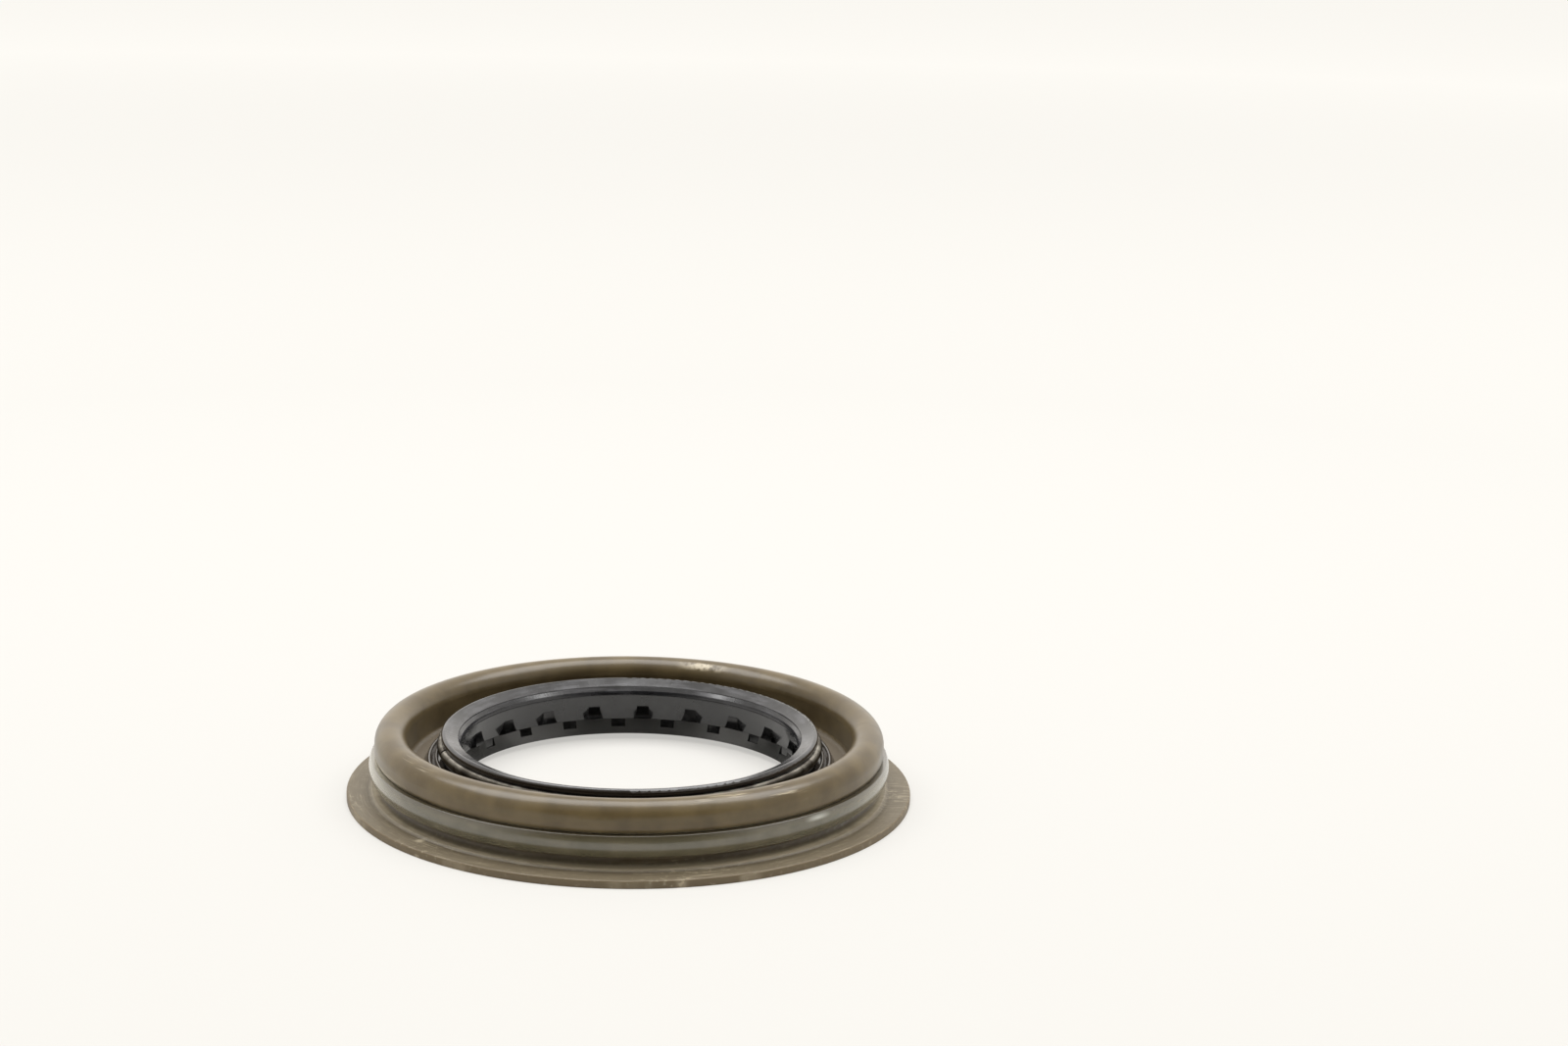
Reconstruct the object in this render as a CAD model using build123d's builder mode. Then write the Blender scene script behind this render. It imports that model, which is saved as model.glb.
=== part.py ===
"""Flanged radial shaft seal: pressed case, bonded sealing bead, moulded lip and garter spring.

Millimetres. The seal's axis is Z and the underside of its flange lies on Z = 0.
The oil side, with the spring, faces +Z and the air side, with the dust lip, faces -Z.
"""
import os
from math import atan2, radians, sqrt, tan

from build123d import *

# What the seal fits
shaft_diameter = 55.0
radial_section = 12.5        # from the shaft out to the housing bore

# Pressed steel case
sheet = 1.2                  # thickness of the sheet
press_allowance = 0.2        # case diameter over the housing bore
flange_width = 4.4           # from the press wall out to the flange's edge
flange_bend = 0.9            # inside radius of the bend from flange to neck
ledge_height = 0.35          # low ledge the press tool leaves round that bend
ledge_width = 1.75           # from the neck out to its edge
ledge_slope_run = 0.45       # from that edge down to the flange
ledge_round = 0.4            # both bends of the slope
flange_roll_over = 0.3       # rounding of the flange's sheared upper edge
flange_burr_round = 0.1      # rounding of its lower edge
case_height = 11.3
rim_width = 5.04             # across the folded rim
recess_depth = 1.25          # how far the neck lies inside the press wall
recess_height = 6.0          # top of the straight neck
shoulder_height = 0.9        # rise of the slope from neck to press wall
shoulder_bend = 0.4          # inside radius of the bend from neck to shoulder
shoulder_round = 1.4         # outside radius of the bend from shoulder to press wall
floor_height = 4.7           # upper face of the case's floor
floor_bend = 0.8             # inside radius of the bend from inner wall to floor
floor_grip = 2.7             # how far the floor reaches into the lip's rubber

# Elastomer bead in the recess of the case
bead_stand_out = 0.9         # bead radius over the press wall
bead_crown_height = 5.15
bead_swell_radius = 2.9      # bow of its outer face
bead_foot_height = 3.2
bead_top_height = 6.6
bead_foot_round = 0.25
bead_top_round = 0.1

# Moulded lip: head and sealing edge
lip_preload = 1.8            # shaft diameter less the free diameter of the sealing edge
edge_height = 7.9            # lower end of the sealing edge's land
edge_land = 0.4
edge_back_run = 0.05         # steep face above the land
edge_back_rise = 0.2
oil_face_run = 0.45          # from the steep face out to the trim step
oil_face_rise = 0.55
trim_step = 0.18             # step left where the lip was trimmed
head_width = 3.02            # from the sealing edge out to the head's top edge
head_rise = 2.33             # and up to it, from the foot of the land
head_round = 0.5
head_bulge = 0.1             # bow of the head's outer face
head_face = 1.23             # height of that face, down to the spring
shelf_reach = 0.3            # shelf under the spring, outside the spring's centre circle
shelf_thickness = 0.35

# Moulded lip: air side, flex groove and root
air_angle = 16.5             # slope of the air side from the axis
air_root_height = 3.4        # where the air side meets the dust lip
air_root_round = 0.3
waist_thickness = 1.5        # rubber between the air side and the flex groove
flex_groove_height = 1.0
root_rib_width = 3.9         # from the sealing edge out to the rib round the root
root_rib_height = 6.45
collar_rib_width = 5.05      # and out to the rib at the top of the collar
collar_rib_height = 6.2
rib_round = 0.3
rib_groove_depth = 0.6
collar_width = 6.0           # from the sealing edge out to the end of the rubber on the floor
skirt_width = 6.6            # and under the floor
skirt_thickness = 0.4
dust_lip_clearance = -0.4    # free radius of the dust lip less the shaft's radius
dust_lip_height = 1.0        # inner edge of the dust lip
dust_lip_tip = 0.35          # thickness at the tip
dust_lip_root = 1.2          # thickness where it leaves the skirt
dust_lip_drop = 0.15         # slope across the tip

# Pattern moulded inside the lip
pad_count = 21
pad_drop = 2.15              # from the foot of the land down to a pad's top
pad_height = 2.05            # down to the crest, where a pad stands furthest in
pad_undercut = 0.4           # from the crest down to where a pad ends
pad_top_width = 1.9
pad_waist_width = 2.1        # between top and crest, so that the flanks are hollow
pad_crest_width = 3.0
pad_tilt = 10.0              # slope of a pad's face from the axis
pad_bulge = 0.036            # bow of a pad's face
pad_bedding = 0.3            # how deep a pad is rooted in the lip
pocket_drop = 0.1            # top of a pocket below the root of the air side
pocket_height = 1.2
pocket_width = 2.3
pocket_angle = 10.0          # slope of the pocket's back from the axis
pocket_top_depth = 0.08

# Garter spring
coil_diameter = 1.7
spring_inset = 0.05          # centre of the coil inside the head's top edge
spring_drop = 2.23           # and below it
spring_clearance = 0.03
joint_width = 0.2            # gap where the spring's ends meet
joint_depth = 0.3
joint_angle = 194.5          # degrees from +X

# Derived radii and heights
wall_radius = shaft_diameter / 2 + radial_section + press_allowance / 2
flange_radius = wall_radius + flange_width
neck_radius = wall_radius - recess_depth
rim_inner_radius = wall_radius - rim_width
rim_middle_radius = wall_radius - rim_width / 2
rim_spring_height = case_height - rim_width / 2
shoulder_top = recess_height + shoulder_height
shoulder_shift = sheet * tan(atan2(recess_depth, shoulder_height) / 2)
ledge_top = sheet + ledge_height
ledge_edge_radius = neck_radius + ledge_width
ledge_foot_radius = ledge_edge_radius + ledge_slope_run
bead_radius = wall_radius + bead_stand_out
floor_under = floor_height - sheet
edge_radius = (shaft_diameter - lip_preload) / 2
land_top = edge_height + edge_land
head_radius = edge_radius + head_width
head_height = edge_height + head_rise
air_slope = tan(radians(air_angle))
air_root_radius = edge_radius + (edge_height - air_root_height) * air_slope
dust_lip_radius = shaft_diameter / 2 + dust_lip_clearance
spring_radius = head_radius - spring_inset
coil_radius = coil_diameter / 2
seat_radius = coil_radius + spring_clearance
spring_height = head_height - spring_drop
shelf_top = spring_height - seat_radius
shelf_under = shelf_top - shelf_thickness
shelf_radius = spring_radius + shelf_reach
groove_middle = shelf_under - flex_groove_height / 2
groove_bottom = shelf_under - flex_groove_height
waist_radius = edge_radius + (edge_height - groove_middle) * air_slope + waist_thickness
groove_end_radius = waist_radius + flex_groove_height / 2
root_rib_radius = edge_radius + root_rib_width
collar_rib_radius = edge_radius + collar_rib_width
rib_groove_radius = (root_rib_radius + collar_rib_radius) / 2
rib_groove_bottom = min(root_rib_height, collar_rib_height) - rib_groove_depth
collar_radius = edge_radius + collar_width
skirt_radius = edge_radius + skirt_width
floor_bore_radius = collar_radius - floor_grip
skirt_under = floor_under - skirt_thickness
pad_pitch = 360 / pad_count
pad_top = edge_height - pad_drop
pad_crest = pad_top - pad_height
pad_foot = pad_crest - pad_undercut
pocket_top = air_root_height - pocket_drop
pocket_bottom = pocket_top - pocket_height


def air_side(height):
    """Radius of the lip's air side at a height."""
    return edge_radius + (edge_height - height) * air_slope


def bead_face(height):
    """Radius of the bead's outer face at a height."""
    rise = height - bead_crown_height
    return bead_radius - bead_swell_radius + sqrt(bead_swell_radius**2 - rise**2)


def dust_side(height):
    """Radius of the dust lip's upper face at a height."""
    share = (height - dust_lip_height) / (air_root_height - dust_lip_height)
    return dust_lip_radius + (air_root_radius - dust_lip_radius) * share


# One sheet: flange, neck, shoulder, press wall, folded rim, inner wall and floor
with BuildPart() as metal_case:
    with BuildSketch(Plane.XZ) as case_section:
        with BuildLine():
            upper_leg = FilletPolyline(
                (flange_radius, sheet),
                (ledge_foot_radius, sheet),
                (ledge_edge_radius, ledge_top),
                (neck_radius, ledge_top),
                (neck_radius, recess_height),
                (wall_radius, shoulder_top),
                (wall_radius, rim_spring_height),
                radius=[ledge_round, ledge_round, flange_bend, shoulder_bend, shoulder_round],
            )
            upper_rim = ThreePointArc(
                upper_leg @ 1,
                (rim_middle_radius, case_height),
                (rim_inner_radius, rim_spring_height),
            )
            upper_cup = FilletPolyline(
                upper_rim @ 1,
                (rim_inner_radius, floor_height),
                (floor_bore_radius, floor_height),
                radius=floor_bend,
            )
            lower_leg = FilletPolyline(
                (flange_radius, 0),
                (neck_radius - sheet, 0),
                (neck_radius - sheet, recess_height + shoulder_shift),
                (wall_radius - sheet, shoulder_top + shoulder_shift),
                (wall_radius - sheet, rim_spring_height),
                radius=[flange_bend + ledge_top, shoulder_bend + sheet, shoulder_round - sheet],
            )
            lower_rim = ThreePointArc(
                lower_leg @ 1,
                (rim_middle_radius, case_height - sheet),
                (rim_inner_radius + sheet, rim_spring_height),
            )
            lower_cup = FilletPolyline(
                lower_rim @ 1,
                (rim_inner_radius + sheet, floor_under),
                (floor_bore_radius, floor_under),
                radius=floor_bend + sheet,
            )
            Line(upper_leg @ 0, lower_leg @ 0)
            Line(upper_cup @ 1, lower_cup @ 1)
        make_face()
        sheared_edge = case_section.vertices().group_by(Axis.X)[-1].sort_by(Axis.Y)
        fillet(sheared_edge[-1], flange_roll_over)
        fillet(sheared_edge[0], flange_burr_round)
    revolve(axis=Axis.Z)
metal_case.part.label = "metal_case"

# Bead of softer elastomer, bonded round the neck and under the shoulder
with BuildPart() as sealing_bead:
    with BuildSketch(Plane.XZ) as bead_section:
        with BuildLine():
            crown = ThreePointArc(
                (bead_face(bead_foot_height), bead_foot_height),
                (bead_radius, bead_crown_height),
                (bead_face(bead_top_height), bead_top_height),
            )
            Polyline(
                crown @ 1,
                (neck_radius - sheet / 2, bead_top_height),
                (neck_radius - sheet / 2, bead_foot_height),
                crown @ 0,
            )
        make_face()
        fillet(bead_section.vertices().group_by(Axis.Y)[0].sort_by(Axis.X)[-1], bead_foot_round)
        fillet(bead_section.vertices().group_by(Axis.Y)[-1].sort_by(Axis.X)[-1], bead_top_round)
    revolve(axis=Axis.Z)
    add(metal_case.part, mode=Mode.SUBTRACT)
sealing_bead.part.label = "sealing_bead"

# One raised pad, on +X: a bell outline with hollow flanks, cut to the pad's profile
with BuildPart() as pad:
    with BuildSketch(Plane.YZ):
        with BuildLine():
            pad_flank = ThreePointArc(
                (pad_top_width / 2, pad_top),
                (pad_waist_width / 2, (pad_top + pad_crest) / 2),
                (pad_crest_width / 2, pad_crest),
            )
            Polyline(
                pad_flank @ 1,
                (pad_crest_width / 2, pad_foot),
                (0, pad_foot),
                (0, pad_top),
                pad_flank @ 0,
            )
        make_face()
        mirror(about=Plane.YZ)
    extrude(amount=wall_radius)
    with BuildSketch(Plane.XZ):
        with BuildLine():
            crest_radius = air_side(pad_top) - (pad_top - pad_crest) * tan(radians(pad_tilt))
            pad_face = ThreePointArc(
                (air_side(pad_top), pad_top),
                ((air_side(pad_top) + crest_radius) / 2 - pad_bulge, (pad_top + pad_crest) / 2),
                (crest_radius, pad_crest),
            )
            Polyline(
                pad_face @ 1,
                (dust_side(pad_foot), pad_foot),
                (dust_side(pad_foot) + pad_bedding, pad_foot),
                (air_root_radius + pad_bedding, air_root_height),
                (air_side(pad_top) + pad_bedding, pad_top),
                pad_face @ 0,
            )
        make_face()
    revolve(axis=Axis.Z, mode=Mode.INTERSECT)

# Cutter for one pocket, on +X
with BuildPart() as pocket:
    with BuildSketch(Plane.YZ):
        with Locations((0, (pocket_top + pocket_bottom) / 2)):
            Rectangle(pocket_width, pocket_top - pocket_bottom)
    extrude(amount=wall_radius)
    with BuildSketch(Plane.XZ):
        with BuildLine():
            back_top = dust_side(pocket_top) + pocket_top_depth
            back_bottom = back_top - (pocket_top - pocket_bottom) * tan(radians(pocket_angle))
            Polyline(
                (edge_radius, pocket_top),
                (back_top, pocket_top),
                (back_bottom, pocket_bottom),
                (edge_radius, pocket_bottom),
                close=True,
            )
        make_face()
    revolve(axis=Axis.Z, mode=Mode.INTERSECT)

# One rubber moulding round the inner edge of the case's floor
with BuildPart() as sealing_lip:
    with BuildSketch(Plane.XZ) as lip_section:
        with BuildLine():
            back_radius = edge_radius + edge_back_run
            back_height = land_top + edge_back_rise
            trim_radius = back_radius + oil_face_run
            trim_height = back_height + oil_face_rise
            inner_face = Polyline(
                (dust_lip_radius, dust_lip_height),
                (air_root_radius, air_root_height),
                (edge_radius, edge_height),
                (edge_radius, land_top),
                (back_radius, back_height),
                (trim_radius, trim_height),
                (trim_radius, trim_height + trim_step),
                (head_radius, head_height),
            )
            head_outside = ThreePointArc(
                inner_face @ 1,
                (head_radius + head_bulge, head_height - head_face / 2),
                (head_radius, head_height - head_face),
            )
            Line(head_outside @ 1, (spring_radius, spring_height + seat_radius))
            spring_seat = ThreePointArc(
                (spring_radius, spring_height + seat_radius),
                (spring_radius - seat_radius, spring_height),
                (spring_radius, shelf_top),
            )
            shelf = Polyline(
                spring_seat @ 1,
                (shelf_radius, shelf_top),
                (shelf_radius, shelf_under),
                (groove_end_radius, shelf_under),
            )
            flex_groove = ThreePointArc(
                shelf @ 1,
                (waist_radius, groove_middle),
                (groove_end_radius, groove_bottom),
            )
            root_step = Polyline(
                flex_groove @ 1,
                (root_rib_radius - rib_round, groove_bottom),
                (root_rib_radius - rib_round, root_rib_height - rib_round),
            )
            root_rib = ThreePointArc(
                root_step @ 1,
                (root_rib_radius, root_rib_height),
                (root_rib_radius + rib_round, root_rib_height - rib_round),
            )
            rib_groove = Polyline(
                root_rib @ 1,
                (rib_groove_radius, rib_groove_bottom),
                (collar_rib_radius - rib_round, collar_rib_height - rib_round),
            )
            collar_rib = ThreePointArc(
                rib_groove @ 1,
                (collar_rib_radius, collar_rib_height),
                (collar_rib_radius + rib_round, collar_rib_height - rib_round),
            )
            Polyline(
                collar_rib @ 1,
                (collar_radius, floor_height),
                (collar_radius, floor_height - sheet / 2),
                (skirt_radius, floor_height - sheet / 2),
                (skirt_radius, skirt_under),
                (air_root_radius + dust_lip_root, skirt_under),
                (dust_lip_radius + dust_lip_tip, dust_lip_height - dust_lip_drop),
                inner_face @ 0,
            )
        make_face()
        fillet(lip_section.vertices().sort_by(Axis.Y)[-1], head_round)
        root_corner = (air_root_radius, air_root_height)
        fillet(lip_section.vertices().sort_by_distance(root_corner)[0], air_root_round)
    revolve(axis=Axis.Z)
    add(metal_case.part, mode=Mode.SUBTRACT)
    with PolarLocations(0, pad_count):
        add(pad.part)
    with PolarLocations(0, pad_count, start_angle=pad_pitch / 2):
        add(pocket.part, mode=Mode.SUBTRACT)
sealing_lip.part.label = "sealing_lip"

# Close-wound spring, as the solid ring that its coils fill, with the line where its ends meet
with BuildPart() as garter_spring:
    with BuildSketch(Plane.XZ):
        with Locations((spring_radius, spring_height)):
            Circle(coil_radius)
    revolve(axis=Axis.Z)
    joint_plane = Plane.XZ.rotated((0, 0, joint_angle))
    with BuildSketch(joint_plane):
        with Locations((spring_radius, spring_height)):
            Circle(coil_radius * 1.5)
            Circle(coil_radius - joint_depth, mode=Mode.SUBTRACT)
    extrude(amount=joint_width / 2, both=True, mode=Mode.SUBTRACT)
garter_spring.part.label = "garter_spring"

os.makedirs("parts", exist_ok=True)
for piece in (metal_case, sealing_bead, sealing_lip, garter_spring):
    export_step(piece.part, f"parts/{piece.part.label}.step")
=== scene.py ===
"""Radial shaft seal: finishes for the pressed case, the rubber and the spring, and a plain stage.

Everything is in metres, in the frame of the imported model: the seal's axis is Z and its flange
lies on Z = 0.
"""
import math

import bpy
from mathutils import Matrix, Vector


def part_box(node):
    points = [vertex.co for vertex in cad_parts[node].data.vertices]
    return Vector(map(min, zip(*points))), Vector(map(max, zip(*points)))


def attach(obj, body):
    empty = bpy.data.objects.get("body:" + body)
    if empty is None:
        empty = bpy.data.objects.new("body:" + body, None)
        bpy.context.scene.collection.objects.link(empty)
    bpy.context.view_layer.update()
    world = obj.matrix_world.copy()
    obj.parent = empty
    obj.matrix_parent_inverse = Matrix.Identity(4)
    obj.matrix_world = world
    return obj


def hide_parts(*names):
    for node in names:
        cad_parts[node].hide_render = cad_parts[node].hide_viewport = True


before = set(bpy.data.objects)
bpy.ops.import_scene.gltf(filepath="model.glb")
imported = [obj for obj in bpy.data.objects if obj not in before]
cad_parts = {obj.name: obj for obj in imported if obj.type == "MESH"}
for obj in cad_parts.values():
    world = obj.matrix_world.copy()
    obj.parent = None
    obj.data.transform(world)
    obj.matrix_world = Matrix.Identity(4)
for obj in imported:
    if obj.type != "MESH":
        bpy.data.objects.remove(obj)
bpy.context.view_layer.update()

bl_info = {
    "name": "Radial Shaft Seal",
    "version": (1, 0, 0),
    "blender": (4, 5, 0),
    "location": "View3D > Sidebar > Shaft Seal",
    "description": "Finishes a flanged radial shaft seal and sets up its stage",
    "category": "Object",
}

MM = 0.001

# Sockets of a Mix node that mixes colours
FACTOR, UNDER, OVER, MIXED = 0, 6, 7, 2


# ---------------------------------------------------------------- helpers

def mm(*values):
    """Millimetres in, metres out."""
    return tuple(value * MM for value in values)


def shade(hex_value):
    """Linear colour with full alpha from an sRGB hex value."""
    channels = [int(hex_value[i:i + 2], 16) / 255 for i in (1, 3, 5)]
    return [c / 12.92 if c <= 0.04045 else ((c + 0.055) / 1.055) ** 2.4 for c in channels] + [1.0]


def add_node(tree, kind, inputs=None, **settings):
    """Adds a node; each input takes a value or another node's output."""
    node = tree.nodes.new("ShaderNode" + kind)
    for name, value in settings.items():
        setattr(node, name, value)
    for name, value in (inputs or {}).items():
        if isinstance(value, bpy.types.NodeSocket):
            tree.links.new(value, node.inputs[name])
        else:
            node.inputs[name].default_value = value
    return node


def new_material(name):
    """An empty node material and its tree."""
    material = bpy.data.materials.new(name)
    material.use_nodes = True
    material.node_tree.nodes.clear()
    return material, material.node_tree


def turned_place(tree):
    """Object coordinates round the seal's axis: place, radius, height and outward direction."""
    place = add_node(tree, "TexCoord").outputs["Object"]
    parts = add_node(tree, "SeparateXYZ", {0: place})
    flat = add_node(tree, "CombineXYZ", {0: parts.outputs["X"], 1: parts.outputs["Y"]})
    radius = add_node(tree, "VectorMath", {0: flat.outputs[0]}, operation="LENGTH")
    outward = add_node(tree, "VectorMath", {0: flat.outputs[0]}, operation="NORMALIZE")
    return place, radius.outputs["Value"], parts.outputs["Z"], outward.outputs["Vector"]


def patches(tree, place, size, low, high, detail=3.0):
    """Soft patches of about the given size: 0 where the noise is under low, 1 over high."""
    field = add_node(tree, "TexNoise", {"Vector": place, "Scale": 1 / size, "Detail": detail})
    return add_node(tree, "MapRange", {"Value": field.outputs["Fac"], "From Min": low,
                                       "From Max": high},
                    interpolation_type="SMOOTHSTEP").outputs["Result"]


def streaks(tree, outward, across, per_radian, thickness, low, high):
    """Fine marks along the circumference, or along the radius where they are many."""
    # One unit of the pattern is one mark: a radian over per_radian long, and so thick across
    spread = add_node(tree, "VectorMath", {0: outward, 1: (per_radian, per_radian, 0.0)},
                      operation="MULTIPLY")
    level = add_node(tree, "Math", {0: across, 1: thickness}, operation="DIVIDE")
    lift = add_node(tree, "CombineXYZ", {"Z": level.outputs[0]})
    place = add_node(tree, "VectorMath", {0: spread.outputs[0], 1: lift.outputs[0]},
                     operation="ADD")
    return patches(tree, place.outputs[0], 1.0, low, high, detail=2.0)


def near_spot(tree, place, spot):
    """1 at a spot given by X, Y, height and reach, falling to 0 at its reach."""
    *centre, reach = spot
    gap = add_node(tree, "VectorMath", {0: place, 1: centre}, operation="DISTANCE")
    return add_node(tree, "MapRange", {"Value": gap.outputs["Value"], "From Min": reach,
                                       "From Max": 0.0},
                    interpolation_type="SMOOTHSTEP").outputs["Result"]


def near_ring(tree, radius, height, ring):
    """1 on a ring given by radius, height and reach, falling to 0 at its reach."""
    ring_radius, ring_height, reach = ring
    section = add_node(tree, "CombineXYZ", {0: radius, 1: height})
    return near_spot(tree, section.outputs[0], (ring_radius, ring_height, 0.0, reach))


def outside_cone(tree, radius, height, low_circle, high_circle):
    """Distance outwards from the cone through two circles, each given by height and radius."""
    cone = add_node(tree, "MapRange", {
        "Value": height, "From Min": low_circle[0], "From Max": high_circle[0],
        "To Min": low_circle[1], "To Max": high_circle[1]})
    return add_node(tree, "Math", {0: radius, 1: cone.outputs[0]},
                    operation="SUBTRACT").outputs[0]


def coat(node, material):
    """Gives every slot of a CAD node one material."""
    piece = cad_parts[node]
    piece.data.materials.clear()
    piece.data.materials.append(material)


# ---------------------------------------------------------------- settings

class CaseFinish(bpy.types.PropertyGroup):
    lacquer: bpy.props.StringProperty(
        name="Lacquer", description="Colour of the baked lacquer, sRGB hex", default="#564A32")
    lacquer_thick: bpy.props.StringProperty(
        name="Thick lacquer", description="Colour where the lacquer ran thicker, sRGB hex",
        default="#443925")
    flange: bpy.props.StringProperty(
        name="Flange", description="Colour of the worn lacquer on the flange, sRGB hex",
        default="#564D3C")
    # Also the colour of the painted light on the ledge and in the groove, and of the painted
    # highlight in the rim's rubs
    rubbed_and_lit: bpy.props.StringProperty(
        name="Rubbed", description="Colour of rubbed and scratched places, sRGB hex",
        default="#A89D86")
    roughness: bpy.props.FloatProperty(
        name="Roughness", description="Roughness of the lacquer", default=0.28,
        min=0.0, max=1.0, subtype="FACTOR")
    flange_roughness: bpy.props.FloatProperty(
        name="Flange roughness", description="Roughness of the worn lacquer on the flange",
        default=0.5, min=0.0, max=1.0, subtype="FACTOR")
    cloud: bpy.props.FloatProperty(
        name="Clouds", description="Size of the patches in the lacquer", default=5 * MM,
        unit="LENGTH")
    scratch: bpy.props.FloatProperty(
        name="Scratches", description="Width of a scratch on the flange", default=0.14 * MM,
        unit="LENGTH")


class BeadFinish(bpy.types.PropertyGroup):
    elastomer: bpy.props.StringProperty(
        name="Elastomer", description="Colour of the bead, sRGB hex", default="#454130")
    roughness: bpy.props.FloatProperty(
        name="Roughness", description="Roughness of the bead", default=0.24,
        min=0.0, max=1.0, subtype="FACTOR")


class LipFinish(bpy.types.PropertyGroup):
    rubber: bpy.props.StringProperty(
        name="Rubber", description="Colour of the nitrile rubber, sRGB hex", default="#141416")
    film: bpy.props.StringProperty(
        name="Film", description="Colour of the film of oil and dust on it, sRGB hex",
        default="#262628")
    roughness: bpy.props.FloatProperty(
        name="Roughness", description="Roughness of the moulded rubber", default=0.12,
        min=0.0, max=1.0, subtype="FACTOR")
    trim_mark: bpy.props.FloatProperty(
        name="Trim marks", description="Width of a radial mark on the trimmed face",
        default=0.35 * MM, unit="LENGTH")


class SpringShape(bpy.types.PropertyGroup):
    wire: bpy.props.FloatProperty(
        name="Wire", description="Diameter of the spring's wire", default=0.32 * MM,
        unit="LENGTH")
    joint: bpy.props.FloatProperty(
        name="Joint", description="Gap where the spring's ends meet", default=0.2 * MM,
        unit="LENGTH")
    joint_angle: bpy.props.FloatProperty(
        name="Joint angle", description="Direction of the joint from +X",
        default=math.radians(194.5), subtype="ANGLE")
    steel: bpy.props.StringProperty(
        name="Steel", description="Colour of the drawn spring steel, sRGB hex",
        default="#77736B")
    oiled_steel: bpy.props.StringProperty(
        name="Oiled steel", description="Colour of the spring where oil has stayed, sRGB hex",
        default="#4A4640")


class StageSetup(bpy.types.PropertyGroup):
    paper: bpy.props.StringProperty(
        name="Paper", description="Colour of the floor, sRGB hex", default="#FBF9F4")
    lens: bpy.props.FloatProperty(
        name="Lens", description="Focal length on a 36 mm sensor", default=67.5)
    distance: bpy.props.FloatProperty(
        name="Distance", description="Camera's distance in front of the axis",
        default=445.15 * MM, unit="LENGTH")
    height: bpy.props.FloatProperty(
        name="Height", description="Camera's height over the floor", default=149.54 * MM,
        unit="LENGTH")
    turn: bpy.props.FloatProperty(
        name="Turn", description="Camera's turn to the right", default=0.0529,
        subtype="ANGLE")
    dip: bpy.props.FloatProperty(
        name="Dip", description="Camera's tilt down from level", default=0.2327,
        subtype="ANGLE")
    roll: bpy.props.FloatProperty(
        name="Roll", description="Camera's roll", default=0.0225, subtype="ANGLE")


# ---------------------------------------------------------------- materials
# A spot on the seal is X, Y, height and reach, and a ring is radius, height and reach. A fade is
# where a finish begins to show and where it is full, by radius or by height. A share is how much
# of a pattern shows.

# Case
FLANGE_FADE = mm(2.6, 1.6)              # height, down the bend
SHEARED_SHADE_FADE = mm(44.1, 44.4)           # radius, out to the flange's edge
CHANNEL_FADE = mm(5.4, 4.7)             # height, down to the channel's floor
CHANNEL_WIDTH_FADE = mm(36.2, 35.6)     # radius, inside the rim
CREST_FADE = mm(9.9, 10.5)              # height, up to the top of the rim
FOLD_FADE = mm(36.9, 36.2)              # radius, over the rim's inner fold
WORN_SPOTS = (mm(42.0, -5.0, 1.2, 13.0), mm(-30.5, -30.5, 1.2, 9.0),
              mm(9.0, -41.0, 1.2, 14.0))
LEAST_WORN = 0.3
SLID_SPOT = mm(44.0, -7.0, 1.2, 24.0)
SLID_MARKS = (0.25 / MM, 2.4 / MM, 0.0)     # marks per metre along X and Y
LEDGE_RING = mm(40.0, 1.5, 1.1)
LEDGE_FRONT_LIGHT_SPOT = mm(5.0, -50.0, 0.0, 44.0)
GROOVE_LIGHT_RING = mm(39.4, 6.4, 0.8)
LEFT_GROOVE_RING = mm(39.7, 6.6, 1.3)
LEFT_GROOVE_SPOT = mm(-40.0, -7.0, 6.5, 18.0)
KNOCK_SPOT = mm(12.2, 33.8, 10.4, 5.5)
NICK_SPOT = mm(-31.2, -27.6, 1.5, 1.1)
RIGHT_RUB_HIGHLIGHT_SPOT = mm(20.0, -33.5, 10.8, 15.0)
LEFT_RUB_HIGHLIGHT_SPOT = mm(-32.0, -21.5, 11.1, 9.0)
SHEARED_EDGE_AND_SHADE = "#544833"
CHANNEL_DUST = "#51483A"
PALE_GROOVE_TONE = "#CFC8B6"


def flange_marks(tree, finish, place, radius, outward, on_flange):
    """Fine scratches and pale flecks where the flange has slid on its neighbours in the box."""
    curved = streaks(tree, outward, radius, per_radian=9.0, thickness=finish.scratch,
                     low=0.53, high=0.7)
    # On one side it has slid straight across
    straight = add_node(tree, "VectorMath", {0: place, 1: SLID_MARKS}, operation="MULTIPLY")
    straight = patches(tree, straight.outputs[0], 1.0, low=0.48, high=0.72, detail=2.0)
    scratch = add_node(tree, "Mix", {"Factor": near_spot(tree, place, SLID_SPOT),
                                     "A": curved, "B": straight})
    worn = patches(tree, place, 9 * MM, low=0.5, high=0.8)
    worn = add_node(tree, "Math", {0: worn, 1: LEAST_WORN}, operation="MAXIMUM")
    for spot in WORN_SPOTS:
        worn = add_node(tree, "Math", {0: worn.outputs[0], 1: near_spot(tree, place, spot)},
                        operation="MAXIMUM")
    scratch = add_node(tree, "Math", {0: scratch.outputs[0], 1: worn.outputs[0]},
                       operation="MULTIPLY")
    scratch = add_node(tree, "Math", {0: scratch.outputs[0], 1: on_flange},
                       operation="MULTIPLY")
    fleck = patches(tree, place, 0.8 * MM, low=0.58, high=0.68)
    fleck = add_node(tree, "Math", {0: fleck, 1: worn.outputs[0]}, operation="MULTIPLY")
    fleck = add_node(tree, "Math", {0: fleck.outputs[0], 1: on_flange}, operation="MULTIPLY")
    fleck_share = 0.5
    return add_node(tree, "Math", {0: fleck.outputs[0], 1: fleck_share, 2: scratch.outputs[0]},
                    operation="MULTIPLY_ADD", use_clamp=True).outputs[0]


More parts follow.
